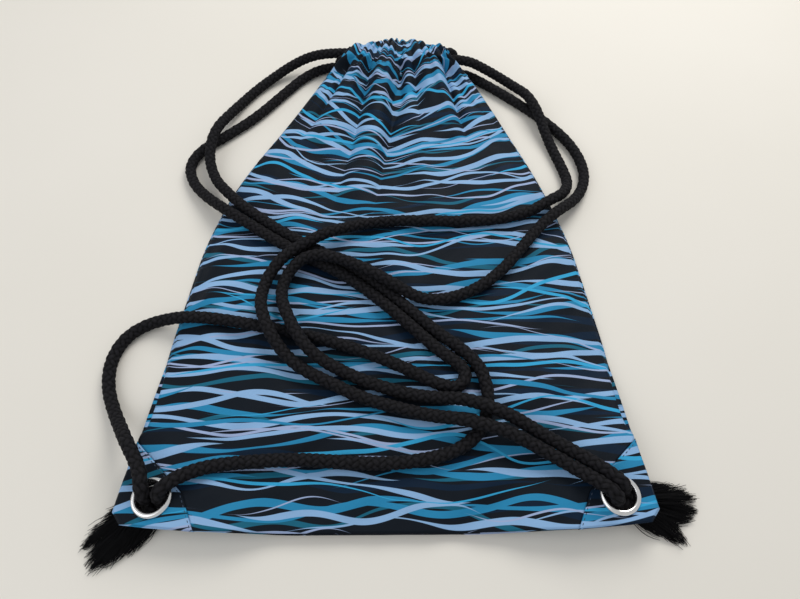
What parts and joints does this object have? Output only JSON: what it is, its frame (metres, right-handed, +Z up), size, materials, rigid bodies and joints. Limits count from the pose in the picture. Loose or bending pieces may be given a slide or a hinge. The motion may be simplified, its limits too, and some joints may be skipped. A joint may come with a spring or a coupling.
{
  "type": "drawstring backpack",
  "caption": "Flat cloth drawstring backpack with a gathered mouth, two braided shoulder cords, corner eyelets, knots and frayed tassels, lying on its back.",
  "frame": {"origin": "on the surface the bag lies on, under the middle of the bag without its free cords", "axes": "+X to the right across the bag, +Y from the bottom edge to the gathered mouth, +Z up out of the front panel"},
  "size_m": [0.4135, 0.487, 0.033],
  "materials": {
    "patterned_cloth": "matt printed woven cotton",
    "corner_cloth": "matt printed woven cotton, two layers",
    "nickel": "polished nickel plate",
    "cord": "braided black polyester",
    "frayed_cord": "loose black fibres",
    "thread": "polyester sewing thread"
  },
  "bodies": {
    "bag": {"back_casing": "patterned_cloth", "back_panel": "patterned_cloth", "bottom_seam": "patterned_cloth", "casing_stitching": "thread", "front_casing": "patterned_cloth", "front_panel": "patterned_cloth", "left_cord_in_casing": "cord", "left_cord_inner": "cord", "left_cord_outer": "cord", "left_corner_back": "corner_cloth", "left_corner_front": "corner_cloth", "left_corner_stitching": "thread", "left_eyelet": "nickel", "left_eyelet_washer": "nickel", "left_side_seam": "patterned_cloth", "right_cord_in_casing": "cord", "right_cord_inner": "cord", "right_cord_outer": "cord", "right_corner_back": "corner_cloth", "right_corner_front": "corner_cloth", "right_corner_stitching": "thread", "right_eyelet": "nickel", "right_eyelet_washer": "nickel", "right_side_seam": "patterned_cloth"},
    "left_end": {"left_knot": "cord", "left_tassel": "frayed_cord"},
    "right_end": {"right_knot": "cord", "right_tassel": "frayed_cord"}
  },
  "joints": [
    {"name": "left_tassel_swing", "type": "hinge", "parent": "bag", "child": "left_end", "pos_m": [-0.149, -0.213, 0], "axis": [0, 0, 1], "range_deg": [-25, 25]},
    {"name": "right_tassel_swing", "type": "hinge", "parent": "bag", "child": "right_end", "pos_m": [0.149, -0.213, 0], "axis": [0, 0, 1], "range_deg": [-25, 25]}
  ]
}
